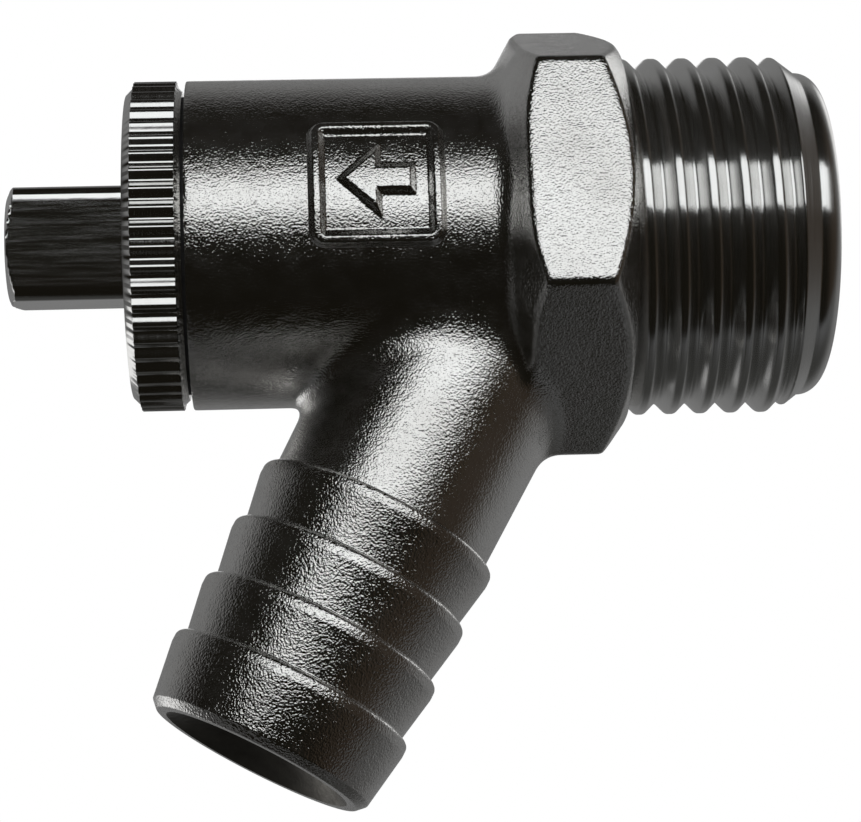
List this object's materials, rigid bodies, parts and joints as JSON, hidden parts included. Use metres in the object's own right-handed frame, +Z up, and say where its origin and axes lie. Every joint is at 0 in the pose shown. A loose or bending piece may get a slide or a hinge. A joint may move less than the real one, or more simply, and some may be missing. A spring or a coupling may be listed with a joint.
{
  "type": "drain cock",
  "caption": "Screw-down drain cock with a threaded inlet, hexagon, knurled bonnet, square key end and a barbed hose tail set at an angle.",
  "frame": {"origin": "on the main axis, in the plane of the hexagon's shoulder where the inlet thread starts", "axes": "+X along the main axis towards the inlet, +Z up, with the hose tail pointing down and back in the XZ plane"},
  "size_m": [0.0472, 0.023, 0.0464],
  "materials": {
    "cast_plating": "satin",
    "turned_plating": "polished",
    "plain_brass": "satin",
    "spring_steel": "satin",
    "seal_rubber": "matte"
  },
  "bodies": {
    "housing": {"valve_body": "cast_plating", "bonnet": "turned_plating", "bonnet_gasket": "seal_rubber", "spindle_o_ring": "seal_rubber"},
    "valve_head": {"jumper": "plain_brass", "jumper_ring": "spring_steel", "seat_washer": "seal_rubber", "washer_nut": "plain_brass"},
    "spindle": {"spindle": "turned_plating"}
  },
  "joints": [
    {"name": "spindle_rise", "type": "slide", "parent": "housing", "child": "valve_head", "axis": [-1, 0, 0], "range_m": [0, 0.003]},
    {"name": "spindle_turn", "type": "hinge", "parent": "valve_head", "child": "spindle", "pos_m": [-0.03, 0, 0], "axis": [-1, 0, 0], "range_deg": [0, 720]}
  ],
  "couplings": [
    {"joint": "spindle_rise", "follows": "spindle_turn", "m_per_rad": 0.00023873}
  ]
}
